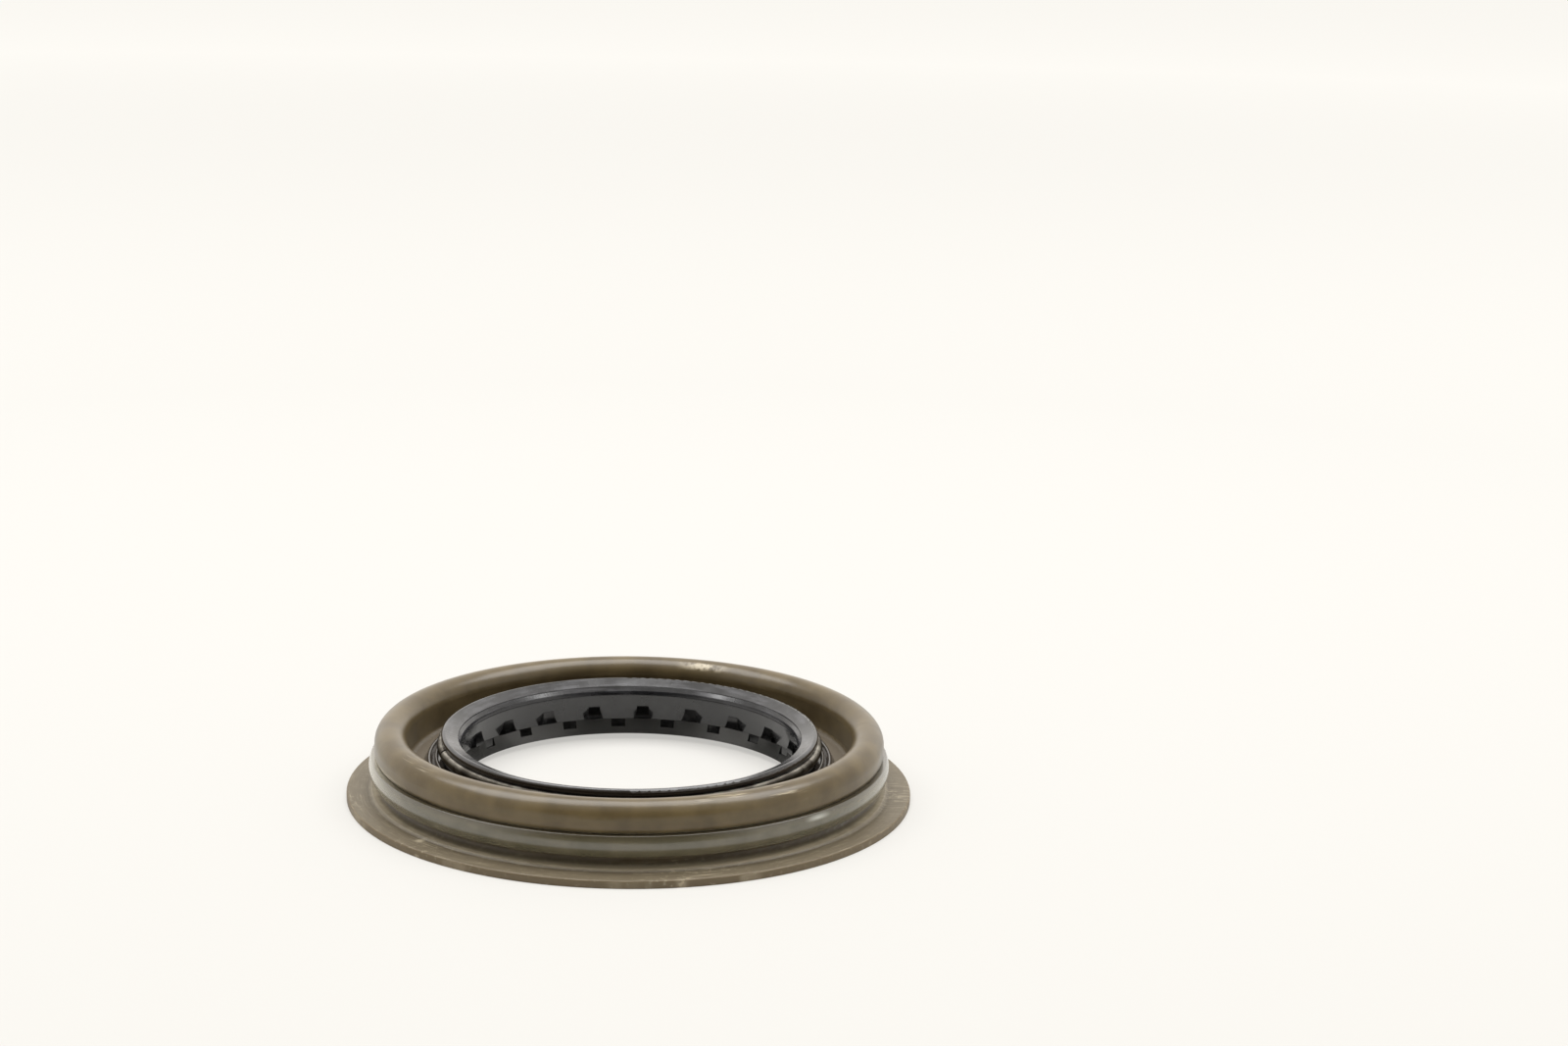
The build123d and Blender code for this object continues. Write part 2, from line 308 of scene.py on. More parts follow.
def burnished_and_lit_ledge(tree, place, radius, height):
    """The ledge round the bend, burnished by the press tool and carrying painted light where
    light reaches under the bead, unevenly and most at the front.
    """
    lit_ledge = near_ring(tree, radius, height, LEDGE_RING)
    front = near_spot(tree, place, LEDGE_FRONT_LIGHT_SPOT)
    uneven = patches(tree, place, 2.2 * MM, low=0.25, high=0.7)
    uneven_share = 0.3
    uneven = add_node(tree, "Math", {0: uneven, 1: uneven_share, 2: front},
                      operation="MULTIPLY_ADD")
    gain, least = 1.3, 0.5
    uneven = add_node(tree, "Math", {0: uneven.outputs[0], 1: gain, 2: least},
                      operation="MULTIPLY_ADD")
    return add_node(tree, "Math", {0: lit_ledge, 1: uneven.outputs[0]}, operation="MULTIPLY",
                    use_clamp=True).outputs[0]


def pale_left_groove(tree, place, radius, height):
    """Paler in the groove over the bead, on the left side."""
    pale_groove = add_node(tree, "Math", {0: near_ring(tree, radius, height, LEFT_GROOVE_RING),
                                   1: near_spot(tree, place, LEFT_GROOVE_SPOT)}, operation="MULTIPLY")
    gain = 1.5
    return add_node(tree, "Math", {0: pale_groove.outputs[0], 1: gain}, operation="MULTIPLY",
                    use_clamp=True).outputs[0]


def channel_dust(tree, radius, height):
    """Dust that has settled on the floor of the channel."""
    low = add_node(tree, "MapRange", {
        "Value": height, "From Min": CHANNEL_FADE[0], "From Max": CHANNEL_FADE[1]},
        interpolation_type="SMOOTHSTEP")
    inside = add_node(tree, "MapRange", {
        "Value": radius, "From Min": CHANNEL_WIDTH_FADE[0], "From Max": CHANNEL_WIDTH_FADE[1]})
    return add_node(tree, "Math", {0: low.outputs[0], 1: inside.outputs[0]},
                    operation="MULTIPLY").outputs[0]


def rubbed_and_highlit_rim(tree, place, radius, height, outward):
    """Where the lacquer is rubbed through: a knock, short rubs on the rim that double as a
    painted highlight, and a nick below.
    """
    crest = add_node(tree, "MapRange", {
        "Value": height, "From Min": CREST_FADE[0], "From Max": CREST_FADE[1]},
        interpolation_type="SMOOTHSTEP")
    # The knock runs ragged along the inner edge of the rim
    fold = add_node(tree, "MapRange", {
        "Value": radius, "From Min": FOLD_FADE[0], "From Max": FOLD_FADE[1]},
        interpolation_type="SMOOTHSTEP")
    edge = add_node(tree, "Math", {0: fold.outputs[0], 1: crest.outputs[0]},
                    operation="MULTIPLY")
    knock = add_node(tree, "Math", {0: edge.outputs[0], 1: near_spot(tree, place, KNOCK_SPOT)},
                     operation="MULTIPLY")
    ragged = patches(tree, place, 1.1 * MM, low=0.36, high=0.6, detail=4.0)
    knock = add_node(tree, "Math", {0: knock.outputs[0], 1: ragged}, operation="MULTIPLY")
    # The rubs run along the top, more of them on the right, where they also paint the rim's
    # highlight
    rubs_and_highlight = streaks(tree, outward, radius, per_radian=7.0, thickness=0.3 * MM,
                   low=0.58, high=0.75)
    left_share = 0.35
    rub_highlight_sides = add_node(tree, "Math", {0: near_spot(tree, place, LEFT_RUB_HIGHLIGHT_SPOT), 1: left_share,
                                      2: near_spot(tree, place, RIGHT_RUB_HIGHLIGHT_SPOT)},
                       operation="MULTIPLY_ADD", use_clamp=True)
    rubs_and_highlight = add_node(tree, "Math", {0: rubs_and_highlight, 1: rub_highlight_sides.outputs[0]}, operation="MULTIPLY")
    rubs_and_highlight = add_node(tree, "Math", {0: rubs_and_highlight.outputs[0], 1: crest.outputs[0]},
                    operation="MULTIPLY")
    rubbed_and_lit = add_node(tree, "Math", {0: knock.outputs[0], 1: rubs_and_highlight.outputs[0]},
                      operation="MAXIMUM")
    return add_node(tree, "Math", {0: rubbed_and_lit.outputs[0], 1: near_spot(tree, place, NICK_SPOT)},
                    operation="MAXIMUM").outputs[0]


def baked_lacquer_on_steel(finish):
    """Deep-drawn sheet steel under a thin baked olive-brown lacquer."""
    # A satin film: wide soft highlights on the bends, cloudy where it ran thicker, with pale
    # flecks and fine scratches on the flange
    material, tree = new_material("baked_lacquer_on_steel")
    place, radius, height, outward = turned_place(tree)
    cloud = patches(tree, place, finish.cloud, low=0.25, high=0.75, detail=4.0)
    tone = add_node(tree, "Mix", {FACTOR: cloud, UNDER: shade(finish.lacquer_thick),
                                  OVER: shade(finish.lacquer)}, data_type="RGBA")
    # Handling has polished and dusted the flange lighter than the wall above it
    on_flange = add_node(tree, "MapRange", {
        "Value": height, "From Min": FLANGE_FADE[0], "From Max": FLANGE_FADE[1]},
        interpolation_type="SMOOTHSTEP").outputs[0]
    tone = add_node(tree, "Mix", {FACTOR: on_flange, UNDER: tone.outputs[MIXED],
                                  OVER: shade(finish.flange)}, data_type="RGBA")
    # The ledge is burnished and carries painted light where light reaches under the bead; painted
    # light also lifts the shade in the groove over the bead
    lit_ledge = burnished_and_lit_ledge(tree, place, radius, height)
    # Painted light in the groove over the bead, lifting the shade under the wall
    groove_light = near_ring(tree, radius, height, GROOVE_LIGHT_RING)
    painted_light = add_node(tree, "Math", {0: lit_ledge, 1: groove_light}, operation="MAXIMUM")
    tone = add_node(tree, "Mix", {FACTOR: painted_light.outputs[0], UNDER: tone.outputs[MIXED],
                                  OVER: shade(finish.rubbed_and_lit)}, data_type="RGBA")
    tone = add_node(tree, "Mix", {FACTOR: pale_left_groove(tree, place, radius, height),
                                  UNDER: tone.outputs[MIXED], OVER: shade(PALE_GROOVE_TONE)},
                    data_type="RGBA")
    # The flange's sheared edge has kept a darker coat, and the rounding out to it carries painted
    # shade that dims its highlight
    sheared_and_shaded = add_node(tree, "MapRange", {
        "Value": radius, "From Min": SHEARED_SHADE_FADE[0], "From Max": SHEARED_SHADE_FADE[1]})
    tone = add_node(tree, "Mix", {FACTOR: sheared_and_shaded.outputs[0], UNDER: tone.outputs[MIXED],
                                  OVER: shade(SHEARED_EDGE_AND_SHADE)}, data_type="RGBA")
    dust = channel_dust(tree, radius, height)
    tone = add_node(tree, "Mix", {FACTOR: dust, UNDER: tone.outputs[MIXED],
                                  OVER: shade(CHANNEL_DUST)}, data_type="RGBA")
    marks = flange_marks(tree, finish, place, radius, outward, on_flange)
    rubbed_and_lit = rubbed_and_highlit_rim(tree, place, radius, height, outward)
    mark_share = 0.6
    bare = add_node(tree, "Math", {0: marks, 1: mark_share, 2: rubbed_and_lit},
                    operation="MULTIPLY_ADD", use_clamp=True)
    colour = add_node(tree, "Mix", {FACTOR: bare.outputs[0], UNDER: tone.outputs[MIXED],
                                    OVER: shade(finish.rubbed_and_lit)}, data_type="RGBA")

    # The film has a fine grain, and sags a little between the clouds
    grain = add_node(tree, "TexNoise", {"Vector": place, "Scale": 1 / (0.4 * MM), "Detail": 2.0})
    grain = add_node(tree, "Bump", {"Strength": 1.0, "Distance": 0.004 * MM,
                                    "Height": grain.outputs["Fac"]})
    sag = patches(tree, place, 5 * MM, low=0.2, high=0.8, detail=0.0)
    sag = add_node(tree, "Bump", {"Strength": 1.0, "Distance": 0.04 * MM, "Height": sag,
                                  "Normal": grain.outputs[0]})
    rough = add_node(tree, "MapRange", {"Value": on_flange, "To Min": finish.roughness,
                                        "To Max": finish.flange_roughness})
    dust_roughness = 0.3
    rough = add_node(tree, "Math", {0: dust, 1: dust_roughness, 2: rough.outputs[0]},
                     operation="MULTIPLY_ADD")
    shader = add_node(tree, "BsdfPrincipled", {
        "Base Color": colour.outputs[MIXED], "Roughness": rough.outputs[0], "IOR": 1.42,
        "Normal": sag.outputs[0]})
    add_node(tree, "OutputMaterial", {"Surface": shader.outputs[0]})
    return material


# Bead
LEFT_SIDE_HIGHLIGHT_SPOT = mm(-41.0, -6.0, 5.0, 19.0)
RIGHT_SIDE_HIGHLIGHT_SPOT = mm(39.0, -12.0, 5.0, 15.0)
CROWN_HIGHLIGHT_SPOT = mm(28.1, -29.6, 6.0, 3.2)
CROWN_HIGHLIGHT_FADE = mm(5.4, 6.1)              # height, up from the crown
CREASE_SHADE_FADE = mm(5.8, 6.5)              # height, up to where it meets the case
BEAD_CLOUD = "#524C3B"
BEAD_SIDE_HIGHLIGHT = "#948F7C"
BEAD_CROWN_HIGHLIGHT = "#A2A49C"
BEAD_CREASE_SHADE = "#3B3527"


def moulded_elastomer(finish):
    """Grey-green elastomer, moulded over the edge of the case."""
    # Smooth and a little waxy: one long clear highlight along the crown
    material, tree = new_material("moulded_elastomer")
    place = add_node(tree, "TexCoord").outputs["Object"]
    height = add_node(tree, "SeparateXYZ", {0: place}).outputs["Z"]
    cloud = patches(tree, place, 4 * MM, low=0.3, high=0.7)
    tone = add_node(tree, "Mix", {FACTOR: cloud, UNDER: shade(finish.elastomer),
                                  OVER: shade(BEAD_CLOUD)}, data_type="RGBA")
    # Painted highlight at both sides, where the bead catches the light from the sides
    right_share, side_highlight_share = 0.35, 0.6
    side_highlight = add_node(tree, "Math", {0: near_spot(tree, place, RIGHT_SIDE_HIGHLIGHT_SPOT), 1: right_share,
                                   2: near_spot(tree, place, LEFT_SIDE_HIGHLIGHT_SPOT)},
                    operation="MULTIPLY_ADD")
    side_highlight = add_node(tree, "Math", {0: side_highlight.outputs[0], 1: side_highlight_share}, operation="MULTIPLY")
    tone = add_node(tree, "Mix", {FACTOR: side_highlight.outputs[0], UNDER: tone.outputs[MIXED],
                                  OVER: shade(BEAD_SIDE_HIGHLIGHT)}, data_type="RGBA")
    # A short painted highlight over its crown
    over_crown = add_node(tree, "MapRange", {
        "Value": height, "From Min": CROWN_HIGHLIGHT_FADE[0], "From Max": CROWN_HIGHLIGHT_FADE[1]},
        interpolation_type="SMOOTHSTEP")
    crown_highlight = add_node(tree, "Math", {0: near_spot(tree, place, CROWN_HIGHLIGHT_SPOT),
                                     1: over_crown.outputs[0]}, operation="MULTIPLY")
    tone = add_node(tree, "Mix", {FACTOR: crown_highlight.outputs[0], UNDER: tone.outputs[MIXED],
                                  OVER: shade(BEAD_CROWN_HIGHLIGHT)}, data_type="RGBA")
    # Painted shade where it meets the case, under the wall's overhang, but for the sides with
    # painted highlight
    crease_shade = add_node(tree, "MapRange", {
        "Value": height, "From Min": CREASE_SHADE_FADE[0], "From Max": CREASE_SHADE_FADE[1]})
    crease_shade = add_node(tree, "Math", {0: crease_shade.outputs[0], 1: side_highlight.outputs[0]},
                      operation="SUBTRACT", use_clamp=True)
    tone = add_node(tree, "Mix", {FACTOR: crease_shade.outputs[0], UNDER: tone.outputs[MIXED],
                                  OVER: shade(BEAD_CREASE_SHADE)}, data_type="RGBA")
    grain = add_node(tree, "TexNoise", {"Vector": place, "Scale": 1 / (0.7 * MM), "Detail": 2.0})
    grain = add_node(tree, "Bump", {"Strength": 1.0, "Distance": 0.003 * MM,
                                    "Height": grain.outputs["Fac"]})
    shader = add_node(tree, "BsdfPrincipled", {
        "Base Color": tone.outputs[MIXED], "Roughness": finish.roughness, "IOR": 1.6,
        "Coat Weight": 0.8, "Coat Roughness": 0.2, "Normal": grain.outputs[0]})
    add_node(tree, "OutputMaterial", {"Surface": shader.outputs[0]})
    return material


# Lip: the air side and the dust lip below it are cones through these circles, height and radius
AIR_TOP = mm(7.9, 26.6)
AIR_FOOT = mm(3.4, 27.93)
DUST_LIP_EDGE = mm(1.0, 27.1)
PAD_RELIEF = mm(0.04, 0.12)             # fade off the air side's cone
PAD_TOP_FADE = mm(7.0, 6.8)             # height
PAD_FOOT_FADE = mm(3.3, 3.45)           # height
POCKET_RELIEF = mm(0.03, 0.07)          # fade off the dust lip's cone
POCKET_RING = mm(27.8, 2.7, 1.0)
POCKET_RING_EDGE = 0.1
PAD_LIFT = (0.0, 0.0, 0.06)             # added to the direction that a pad faces
DUST_LIP_FADE = mm(3.5, 3.2)            # height, down to the dust lip
AIR_FADE = mm(7.9, 7.6)                 # height, down from the sealing edge
HEAD_FADE = mm(8.1, 8.6)                # height, up to the top of the head
TRIM_FADE = mm(8.2, 8.8)                # height, up to the trimmed face
OUTSIDE_FADE = mm(29.5, 29.7)           # radius, out over the head
EDGE_FADE = mm(8.4, 7.5)                # height, down over the sealing edge
TRIM_RADIUS = 27 * MM
LIP_DUST = "#333331"
AIR_FILM = "#2B2B2B"
SHADE_BLACK_RUBBER = "#040404"
HEAD_SMEAR = "#414144"
OUTSIDE_BROWN = "#332D27"


def raised_pads(tree, radius, height):
    """1 on the pads that stand off the air side."""
    relief = outside_cone(tree, radius, height, AIR_FOOT, AIR_TOP)
    relief = add_node(tree, "Math", {0: relief}, operation="ABSOLUTE")
    pads = add_node(tree, "MapRange", {
        "Value": relief.outputs[0], "From Min": PAD_RELIEF[0], "From Max": PAD_RELIEF[1]})
    for low, high in (PAD_TOP_FADE, PAD_FOOT_FADE):
        within = add_node(tree, "MapRange", {"Value": height, "From Min": low, "From Max": high})
        pads = add_node(tree, "Math", {0: pads.outputs[0], 1: within.outputs[0]},
                        operation="MULTIPLY")
    return pads.outputs[0]


def sunken_pockets(tree, radius, height):
    """1 in the pockets of the dust lip."""
    relief = outside_cone(tree, radius, height, DUST_LIP_EDGE, AIR_FOOT)
    pockets = add_node(tree, "MapRange", {
        "Value": relief, "From Min": POCKET_RELIEF[0], "From Max": POCKET_RELIEF[1]})
    band = add_node(tree, "Math", {0: near_ring(tree, radius, height, POCKET_RING),
                                   1: POCKET_RING_EDGE}, operation="GREATER_THAN")
    return add_node(tree, "Math", {0: pockets.outputs[0], 1: band.outputs[0]},
                    operation="MULTIPLY").outputs[0]


def moulded_nitrile_rubber(finish):
    """Black nitrile rubber, moulded in a polished tool and left oily."""
    # Deep black under an uneven oily film, with fine radial marks where the lip was trimmed
    material, tree = new_material("moulded_nitrile_rubber")
    place, radius, height, outward = turned_place(tree)
    film = patches(tree, place, 3.5 * MM, low=0.35, high=0.75, detail=5.0)
    tone = add_node(tree, "Mix", {FACTOR: film, UNDER: shade(finish.rubber),
                                  OVER: shade(finish.film)}, data_type="RGBA")
    # Dust has settled on the dust lip, and handling has left a grey film on the air side
    low = add_node(tree, "MapRange", {
        "Value": height, "From Min": DUST_LIP_FADE[0], "From Max": DUST_LIP_FADE[1]})
    tone = add_node(tree, "Mix", {FACTOR: low.outputs[0], UNDER: tone.outputs[MIXED],
                                  OVER: shade(LIP_DUST)}, data_type="RGBA")
    air = add_node(tree, "MapRange", {
        "Value": height, "From Min": AIR_FADE[0], "From Max": AIR_FADE[1]})
    air_share = 0.55
    air = add_node(tree, "Math", {0: air.outputs[0], 1: air_share}, operation="MULTIPLY")
    tone = add_node(tree, "Mix", {FACTOR: air.outputs[0], UNDER: tone.outputs[MIXED],
                                  OVER: shade(AIR_FILM)}, data_type="RGBA")
    # The pads and pockets are clean, glossy rubber, painted blackest as shade, but oil has run
    # over some of them
    pads = raised_pads(tree, radius, height)
    shaded_and_glossy = add_node(tree, "Math", {0: pads, 1: sunken_pockets(tree, radius, height)},
                     operation="MAXIMUM")
    oil_free = patches(tree, place, 2.2 * MM, low=0.36, high=0.5)
    least = 0.5
    oil_free = add_node(tree, "Math", {0: oil_free, 1: 1 - least, 2: least},
                        operation="MULTIPLY_ADD")
    shaded_and_glossy = add_node(tree, "Math", {0: shaded_and_glossy.outputs[0], 1: oil_free.outputs[0]},
                     operation="MULTIPLY")
    tone = add_node(tree, "Mix", {FACTOR: shaded_and_glossy.outputs[0], UNDER: tone.outputs[MIXED],
                                  OVER: shade(SHADE_BLACK_RUBBER)}, data_type="RGBA")
    # Pale smears run round the top of the head
    smear = streaks(tree, outward, height, per_radian=5.0, thickness=0.5 * MM,
                    low=0.46, high=0.7)
    head = add_node(tree, "MapRange", {
        "Value": height, "From Min": HEAD_FADE[0], "From Max": HEAD_FADE[1]})
    smear = add_node(tree, "Math", {0: smear, 1: head.outputs[0]}, operation="MULTIPLY")
    smear_share = 0.65
    smear = add_node(tree, "Math", {0: smear.outputs[0], 1: smear_share},
                     operation="MULTIPLY")
    tone = add_node(tree, "Mix", {FACTOR: smear.outputs[0], UNDER: tone.outputs[MIXED],
                                  OVER: shade(HEAD_SMEAR)}, data_type="RGBA")
    # Browner on the outside of the head and on the ribs
    outside = add_node(tree, "MapRange", {
        "Value": radius, "From Min": OUTSIDE_FADE[0], "From Max": OUTSIDE_FADE[1]})
    outside_share = 0.8
    outside = add_node(tree, "Math", {0: outside.outputs[0], 1: outside_share},
                       operation="MULTIPLY")
    tone = add_node(tree, "Mix", {FACTOR: outside.outputs[0], UNDER: tone.outputs[MIXED],
                                  OVER: shade(OUTSIDE_BROWN)}, data_type="RGBA")

    # The pads and pockets have kept the gloss of the mould
    film_roughness, clean_roughness = 0.1, -0.06
    rough = add_node(tree, "MapRange", {"Value": film, "To Min": finish.roughness,
                                        "To Max": finish.roughness + film_roughness})
    rough = add_node(tree, "Math", {0: shaded_and_glossy.outputs[0], 1: clean_roughness,
                                    2: rough.outputs[0]}, operation="MULTIPLY_ADD")
    # The pads are shaded as turned a little up, so they mirror the dark wall opposite
    facing = add_node(tree, "NewGeometry").outputs["Normal"]
    lift = add_node(tree, "CombineXYZ", {"Z": pads})
    lift = add_node(tree, "VectorMath", {0: lift.outputs[0], 1: PAD_LIFT, 2: facing},
                    operation="MULTIPLY_ADD")
    lift = add_node(tree, "VectorMath", {0: lift.outputs[0]}, operation="NORMALIZE")
    # So is the sealing edge, by a bump, and it stays dark under the bright oil face
    turned = add_node(tree, "MapRange", {
        "Value": height, "From Min": EDGE_FADE[0], "From Max": EDGE_FADE[1]},
        interpolation_type="SMOOTHSTEP")
    edge = add_node(tree, "Bump", {"Strength": 1.0, "Distance": 0.27 * MM,
                                   "Height": turned.outputs[0],
                                   "Normal": lift.outputs["Vector"]})
    # The blade's marks run outwards over the trimmed face, drawn wider than real so they show
    trim = streaks(tree, outward, radius, per_radian=TRIM_RADIUS / finish.trim_mark,
                   thickness=4 * MM, low=0.3, high=0.7)
    face = add_node(tree, "MapRange", {
        "Value": height, "From Min": TRIM_FADE[0], "From Max": TRIM_FADE[1]})
    trim = add_node(tree, "Math", {0: trim, 1: face.outputs[0]}, operation="MULTIPLY")
    trim = add_node(tree, "Bump", {"Strength": 1.0, "Distance": 0.006 * MM,
                                   "Height": trim.outputs[0], "Normal": edge.outputs[0]})
    shader = add_node(tree, "BsdfPrincipled", {
        "Base Color": tone.outputs[MIXED], "Roughness": rough.outputs[0], "IOR": 1.54,
        "Normal": trim.outputs[0]})
    add_node(tree, "OutputMaterial", {"Surface": shader.outputs[0]})
    return material


def drawn_spring_steel(shape):
    """Hard-drawn spring wire."""
    # Bright along each turn, and darker in patches where oil has stayed
    material, tree = new_material("drawn_spring_steel")
    place = add_node(tree, "TexCoord").outputs["Object"]
    oil = patches(tree, place, 2.5 * MM, low=0.35, high=0.65)
    tone = add_node(tree, "Mix", {FACTOR: oil, UNDER: shade(shape.steel),
                                  OVER: shade(shape.oiled_steel)}, data_type="RGBA")
    shader = add_node(tree, "BsdfPrincipled", {
        "Base Color": tone.outputs[MIXED], "Metallic": 1.0, "Roughness": 0.4})
    add_node(tree, "OutputMaterial", {"Surface": shader.outputs[0]})
    return material


# ---------------------------------------------------------------- floor and room

LIT_SHARE = 0.2                         # share of the floor that is lit, and so has a shadow
GLOW_REACH = (0.35, 1.5)                # distance from the seal over which the glow grows
GLOW = (0.66, 1.0)
# The room's light, faded in by direction: Y for the walls, Z for the ceiling
BACK_WALL = (-0.85, -0.4)
CEILING = (0.6, 0.95)
FAR_WALL = (0.2, 0.9)
ROOM_LIGHT = 0.95
LEAST_LIGHT = 0.03
FAR_WALL_LIGHT = 0.3
ROOM_WHITE = "#FFFBF5"


def pale_paper(setup):
    """Pale paper that keeps a light shadow and is near white to the camera and in gloss."""
    material, tree = new_material("pale_paper")
    colour = shade(setup.paper)
    path = add_node(tree, "LightPath")
    seen = add_node(tree, "Math", {0: path.outputs["Is Camera Ray"],
                                   1: path.outputs["Is Glossy Ray"]}, operation="MAXIMUM")
    seen = add_node(tree, "Math", {0: seen.outputs[0],
                                   1: path.outputs["Is Transmission Ray"]}, operation="MAXIMUM")
    seen = add_node(tree, "Math", {0: seen.outputs[0], 1: 1 - LIT_SHARE},
                    operation="MULTIPLY")
    matt = add_node(tree, "BsdfDiffuse", {"Color": colour})
    # Far from the seal, where less light falls on it, it glows more, so it stays even
    place = add_node(tree, "TexCoord").outputs["Object"]
    far = add_node(tree, "VectorMath", {0: place}, operation="LENGTH")
    strength = add_node(tree, "MapRange", {
        "Value": far.outputs["Value"], "From Min": GLOW_REACH[0], "From Max": GLOW_REACH[1],
        "To Min": GLOW[0], "To Max": GLOW[1]})
    glow = add_node(tree, "Emission", {"Color": colour, "Strength": strength.outputs[0]})
    blend = add_node(tree, "MixShader", {0: seen.outputs[0], 1: matt.outputs[0],
                                         2: glow.outputs[0]})
    add_node(tree, "OutputMaterial", {"Surface": blend.outputs[0]})
    return material


def white_room(setup):
    """A white room, dark only low down behind the camera, which itself sees paper."""
    world = bpy.data.worlds.new("studio")
    world.use_nodes = True
    tree = world.node_tree
    tree.nodes.clear()
    direction = add_node(tree, "TexCoord").outputs["Generated"]
    parts = add_node(tree, "SeparateXYZ", {0: direction})
    back = add_node(tree, "MapRange", {
        "Value": parts.outputs["Y"], "From Min": BACK_WALL[0], "From Max": BACK_WALL[1]},
        interpolation_type="SMOOTHSTEP")
    high = add_node(tree, "MapRange", {
        "Value": parts.outputs["Z"], "From Min": CEILING[0], "From Max": CEILING[1]},
        interpolation_type="SMOOTHSTEP")
    lit = add_node(tree, "Math", {0: back.outputs[0], 1: high.outputs[0]}, operation="MAXIMUM")
    strength = add_node(tree, "Math", {0: lit.outputs[0], 1: ROOM_LIGHT, 2: LEAST_LIGHT},
                        operation="MULTIPLY_ADD")
    # The wall behind the seal is the brightest
    behind = add_node(tree, "MapRange", {
        "Value": parts.outputs["Y"], "From Min": FAR_WALL[0], "From Max": FAR_WALL[1],
        "To Max": FAR_WALL_LIGHT}, interpolation_type="SMOOTHSTEP")
    strength = add_node(tree, "Math", {0: strength.outputs[0], 1: behind.outputs[0]},
                        operation="ADD")
    room = add_node(tree, "Background", {"Color": shade(ROOM_WHITE),
                                         "Strength": strength.outputs[0]})
    seen = add_node(tree, "Background", {"Color": shade(setup.paper), "Strength": 1.0})
    path = add_node(tree, "LightPath")
    blend = add_node(tree, "MixShader", {0: path.outputs["Is Camera Ray"],
                                         1: room.outputs[0], 2: seen.outputs[0]})
    add_node(tree, "OutputWorld", {"Surface": blend.outputs[0]})
    return world


# ---------------------------------------------------------------- operators

# Garter spring: close-wound, so the turns all but touch
PITCH_PER_WIRE = 1.05
WIRE_SIDES = 7
STEPS_PER_TURN = 12
SAME_PLACE = 0.0001 * MM                # points nearer than this are merged

# Stage
FLOOR_SIZE = 12.0
SENSOR_WIDTH = 36.0                     # millimetres, as the lens
CLIP = (0.01, 50.0)                     # nearest and farthest that the camera sees
SOFTBOX_PLACE = (0.0, 0.165, 0.9)
SOFTBOX_SIZE = (1.7, 0.67)
SOFTBOX_POWER = 21.6                    # watts


class SEAL_OT_finish_case(bpy.types.Operator):
    """Lacquers the pressed case"""
    bl_idname = "seal.finish_case"
    bl_label = "Finish Case"

    def execute(self, context):
        coat("metal_case", baked_lacquer_on_steel(context.scene.seal_case))
        return {"FINISHED"}


class SEAL_OT_finish_bead(bpy.types.Operator):
    """Gives the sealing bead its elastomer"""
    bl_idname = "seal.finish_bead"
    bl_label = "Finish Bead"

    def execute(self, context):
        coat("sealing_bead", moulded_elastomer(context.scene.seal_bead))
        return {"FINISHED"}


class SEAL_OT_finish_lip(bpy.types.Operator):
    """Gives the sealing lip its black rubber"""
    bl_idname = "seal.finish_lip"
    bl_label = "Finish Lip"

    def execute(self, context):
        coat("sealing_lip", moulded_nitrile_rubber(context.scene.seal_lip))
        return {"FINISHED"}


class SEAL_OT_wind_spring(bpy.types.Operator):
    """Winds the garter spring from wire and bends it round, leaving a gap at its joint"""
    bl_idname = "seal.wind_spring"
    bl_label = "Wind Garter Spring"

    def execute(self, context):
        shape = context.scene.seal_spring
        low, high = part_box("garter_spring")
        coil_radius = (high[2] - low[2]) / 2
        ring_radius = (high[0] - low[0]) / 2 - coil_radius
        ring_height = (high[2] + low[2]) / 2
        length = 2 * math.pi * ring_radius - shape.joint
        turns = int((length - shape.wire) / (PITCH_PER_WIRE * shape.wire))
        pitch = (length - shape.wire) / turns
        quarter = math.pi / 2

        bpy.ops.object.select_all(action="DESELECT")
        bpy.ops.mesh.primitive_circle_add(
            vertices=WIRE_SIDES, radius=shape.wire / 2, rotation=(quarter, 0, 0),
            location=(0, 0, coil_radius - shape.wire / 2))
        spring = context.object
        spring.name = "garter_spring_coil"
        bpy.ops.object.transform_apply(location=True, rotation=True, scale=True)
        winding = spring.modifiers.new("winding", "SCREW")
        winding.axis = "X"
        winding.screw_offset = pitch
        winding.iterations = turns
        winding.steps = winding.render_steps = STEPS_PER_TURN
        winding.use_normal_calculate = True
        bpy.ops.object.modifier_apply(modifier=winding.name)
        bpy.ops.object.origin_set(type="ORIGIN_GEOMETRY", center="BOUNDS")
        spring.location = (0, 0, 0)
        bending = spring.modifiers.new("bending", "SIMPLE_DEFORM")
        bending.deform_method = "BEND"
        bending.deform_axis = "Z"
        bending.angle = length / ring_radius
        bpy.ops.object.modifier_apply(modifier=bending.name)
        # The bend leaves the ring standing on +Y with its joint at the far side
        spring.matrix_world = (
            Matrix.Translation((0, 0, ring_height))
            @ Matrix.Rotation(shape.joint_angle - quarter, 4, "Z")
            @ Matrix.Translation((0, -ring_radius, 0)))
        bpy.ops.object.transform_apply(location=True, rotation=True, scale=True)
        bpy.ops.object.mode_set(mode="EDIT")
        bpy.ops.mesh.select_all(action="SELECT")
        bpy.ops.mesh.remove_doubles(threshold=SAME_PLACE)
        bpy.ops.mesh.normals_make_consistent(inside=False)
        bpy.ops.object.mode_set(mode="OBJECT")
        bpy.ops.object.shade_smooth()
        spring.data.materials.append(drawn_spring_steel(shape))
        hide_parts("garter_spring")
        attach(spring, "root")
        return {"FINISHED"}


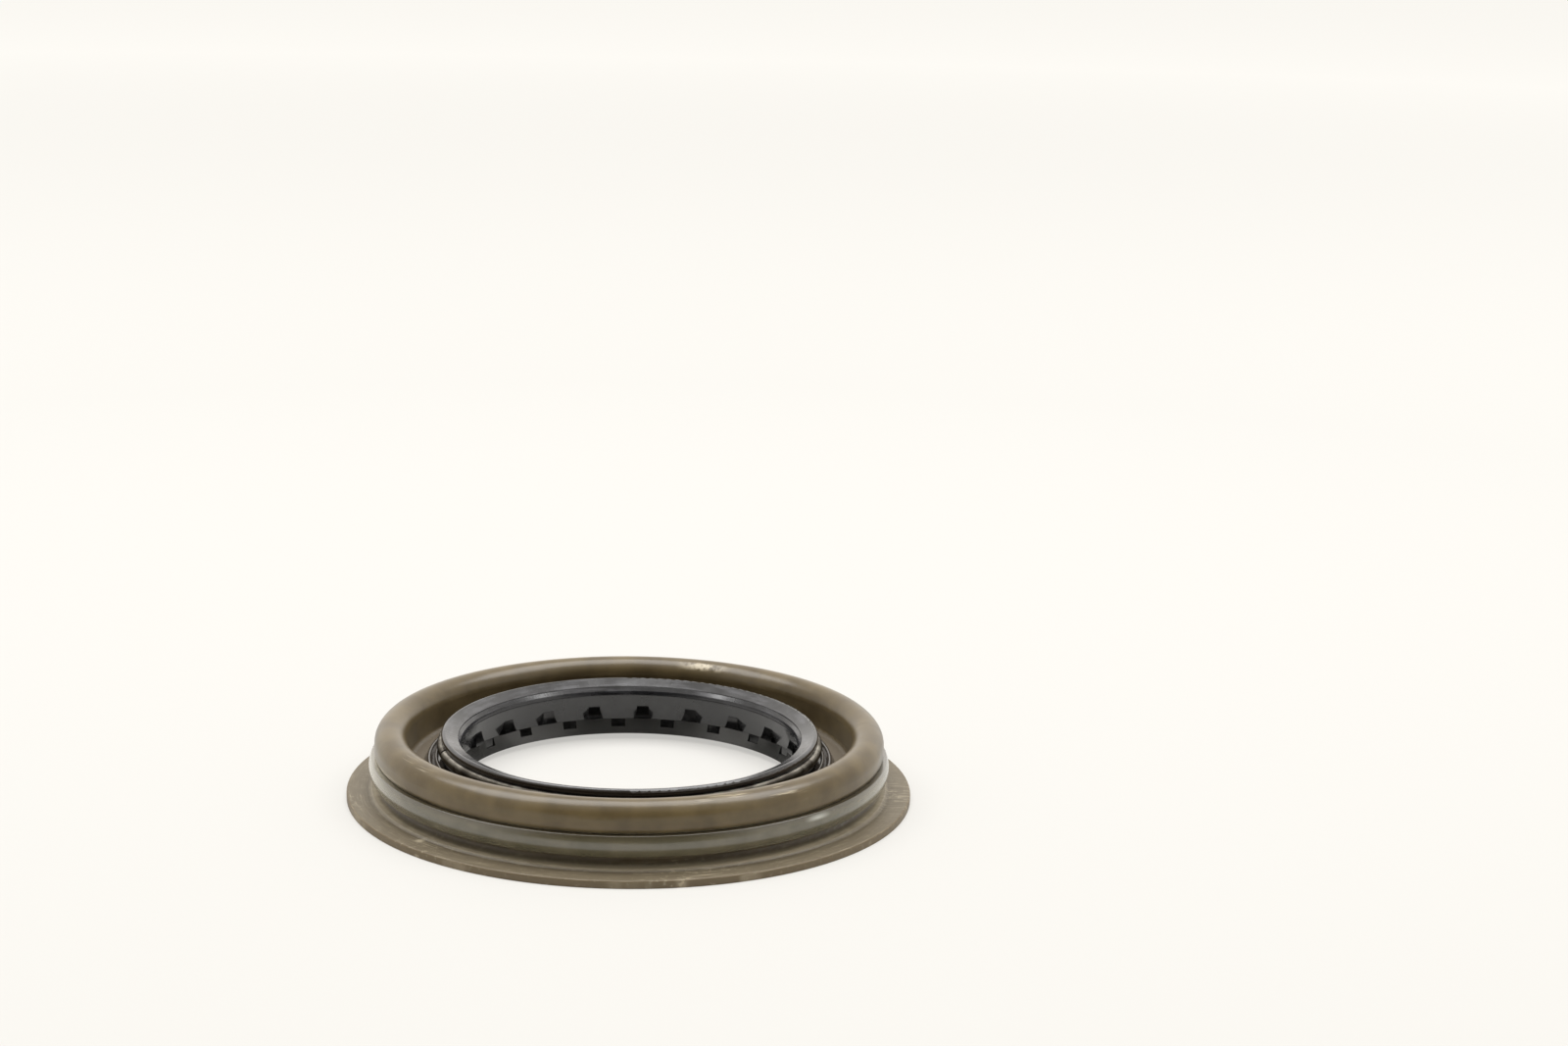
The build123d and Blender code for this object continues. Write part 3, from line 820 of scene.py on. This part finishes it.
class SEAL_OT_set_stage(bpy.types.Operator):
    """Lays the floor, lights the room and places the camera"""
    bl_idname = "seal.set_stage"
    bl_label = "Set Stage"

    def execute(self, context):
        setup = context.scene.seal_stage
        bpy.ops.object.select_all(action="DESELECT")
        bpy.ops.mesh.primitive_plane_add(size=FLOOR_SIZE, location=(0, 0, 0))
        floor = context.object
        floor.name = "floor"
        floor.data.materials.append(pale_paper(setup))

        bpy.ops.object.camera_add()
        camera = context.object
        camera.data.lens = setup.lens
        camera.data.sensor_width = SENSOR_WIDTH
        camera.data.clip_start, camera.data.clip_end = CLIP
        camera.matrix_world = (
            Matrix.Translation((0, -setup.distance, setup.height))
            @ Matrix.Rotation(-setup.turn, 4, "Z")
            @ Matrix.Rotation(math.pi / 2 - setup.dip, 4, "X")
            @ Matrix.Rotation(setup.roll, 4, "Z"))
        context.scene.camera = camera

        context.scene.world = white_room(setup)

        bpy.ops.object.light_add(type="AREA", location=SOFTBOX_PLACE)
        lamp = context.object
        lamp.name = "softbox"
        lamp.data.shape = "RECTANGLE"
        lamp.data.size, lamp.data.size_y = SOFTBOX_SIZE
        lamp.data.energy = SOFTBOX_POWER
        context.scene.view_settings.view_transform = "Standard"
        return {"FINISHED"}


class SEAL_PT_panel(bpy.types.Panel):
    """Settings and steps of the shaft seal"""
    bl_idname = "SEAL_PT_panel"
    bl_label = "Shaft Seal"
    bl_space_type = "VIEW_3D"
    bl_region_type = "UI"
    bl_category = "Shaft Seal"

    def draw(self, context):
        for group, operator in STEPS:
            box = self.layout.box()
            settings = getattr(context.scene, group)
            for name in settings.bl_rna.properties.keys():
                if name not in {"rna_type", "name"}:
                    box.prop(settings, name)
            box.operator(operator)


STEPS = (
    ("seal_case", "seal.finish_case"),
    ("seal_bead", "seal.finish_bead"),
    ("seal_lip", "seal.finish_lip"),
    ("seal_spring", "seal.wind_spring"),
    ("seal_stage", "seal.set_stage"),
)
GROUPS = {
    "seal_case": CaseFinish,
    "seal_bead": BeadFinish,
    "seal_lip": LipFinish,
    "seal_spring": SpringShape,
    "seal_stage": StageSetup,
}
CLASSES = (
    *GROUPS.values(),
    SEAL_OT_finish_case,
    SEAL_OT_finish_bead,
    SEAL_OT_finish_lip,
    SEAL_OT_wind_spring,
    SEAL_OT_set_stage,
    SEAL_PT_panel,
)


def register():
    for item in CLASSES:
        bpy.utils.register_class(item)
    for name, group in GROUPS.items():
        setattr(bpy.types.Scene, name, bpy.props.PointerProperty(type=group))


def unregister():
    for name in GROUPS:
        delattr(bpy.types.Scene, name)
    for item in reversed(CLASSES):
        bpy.utils.unregister_class(item)


def main():
    register()
    for _, operator in STEPS:
        category, step = operator.split(".")
        getattr(getattr(bpy.ops, category), step)()


if __name__ == "__main__":
    main()
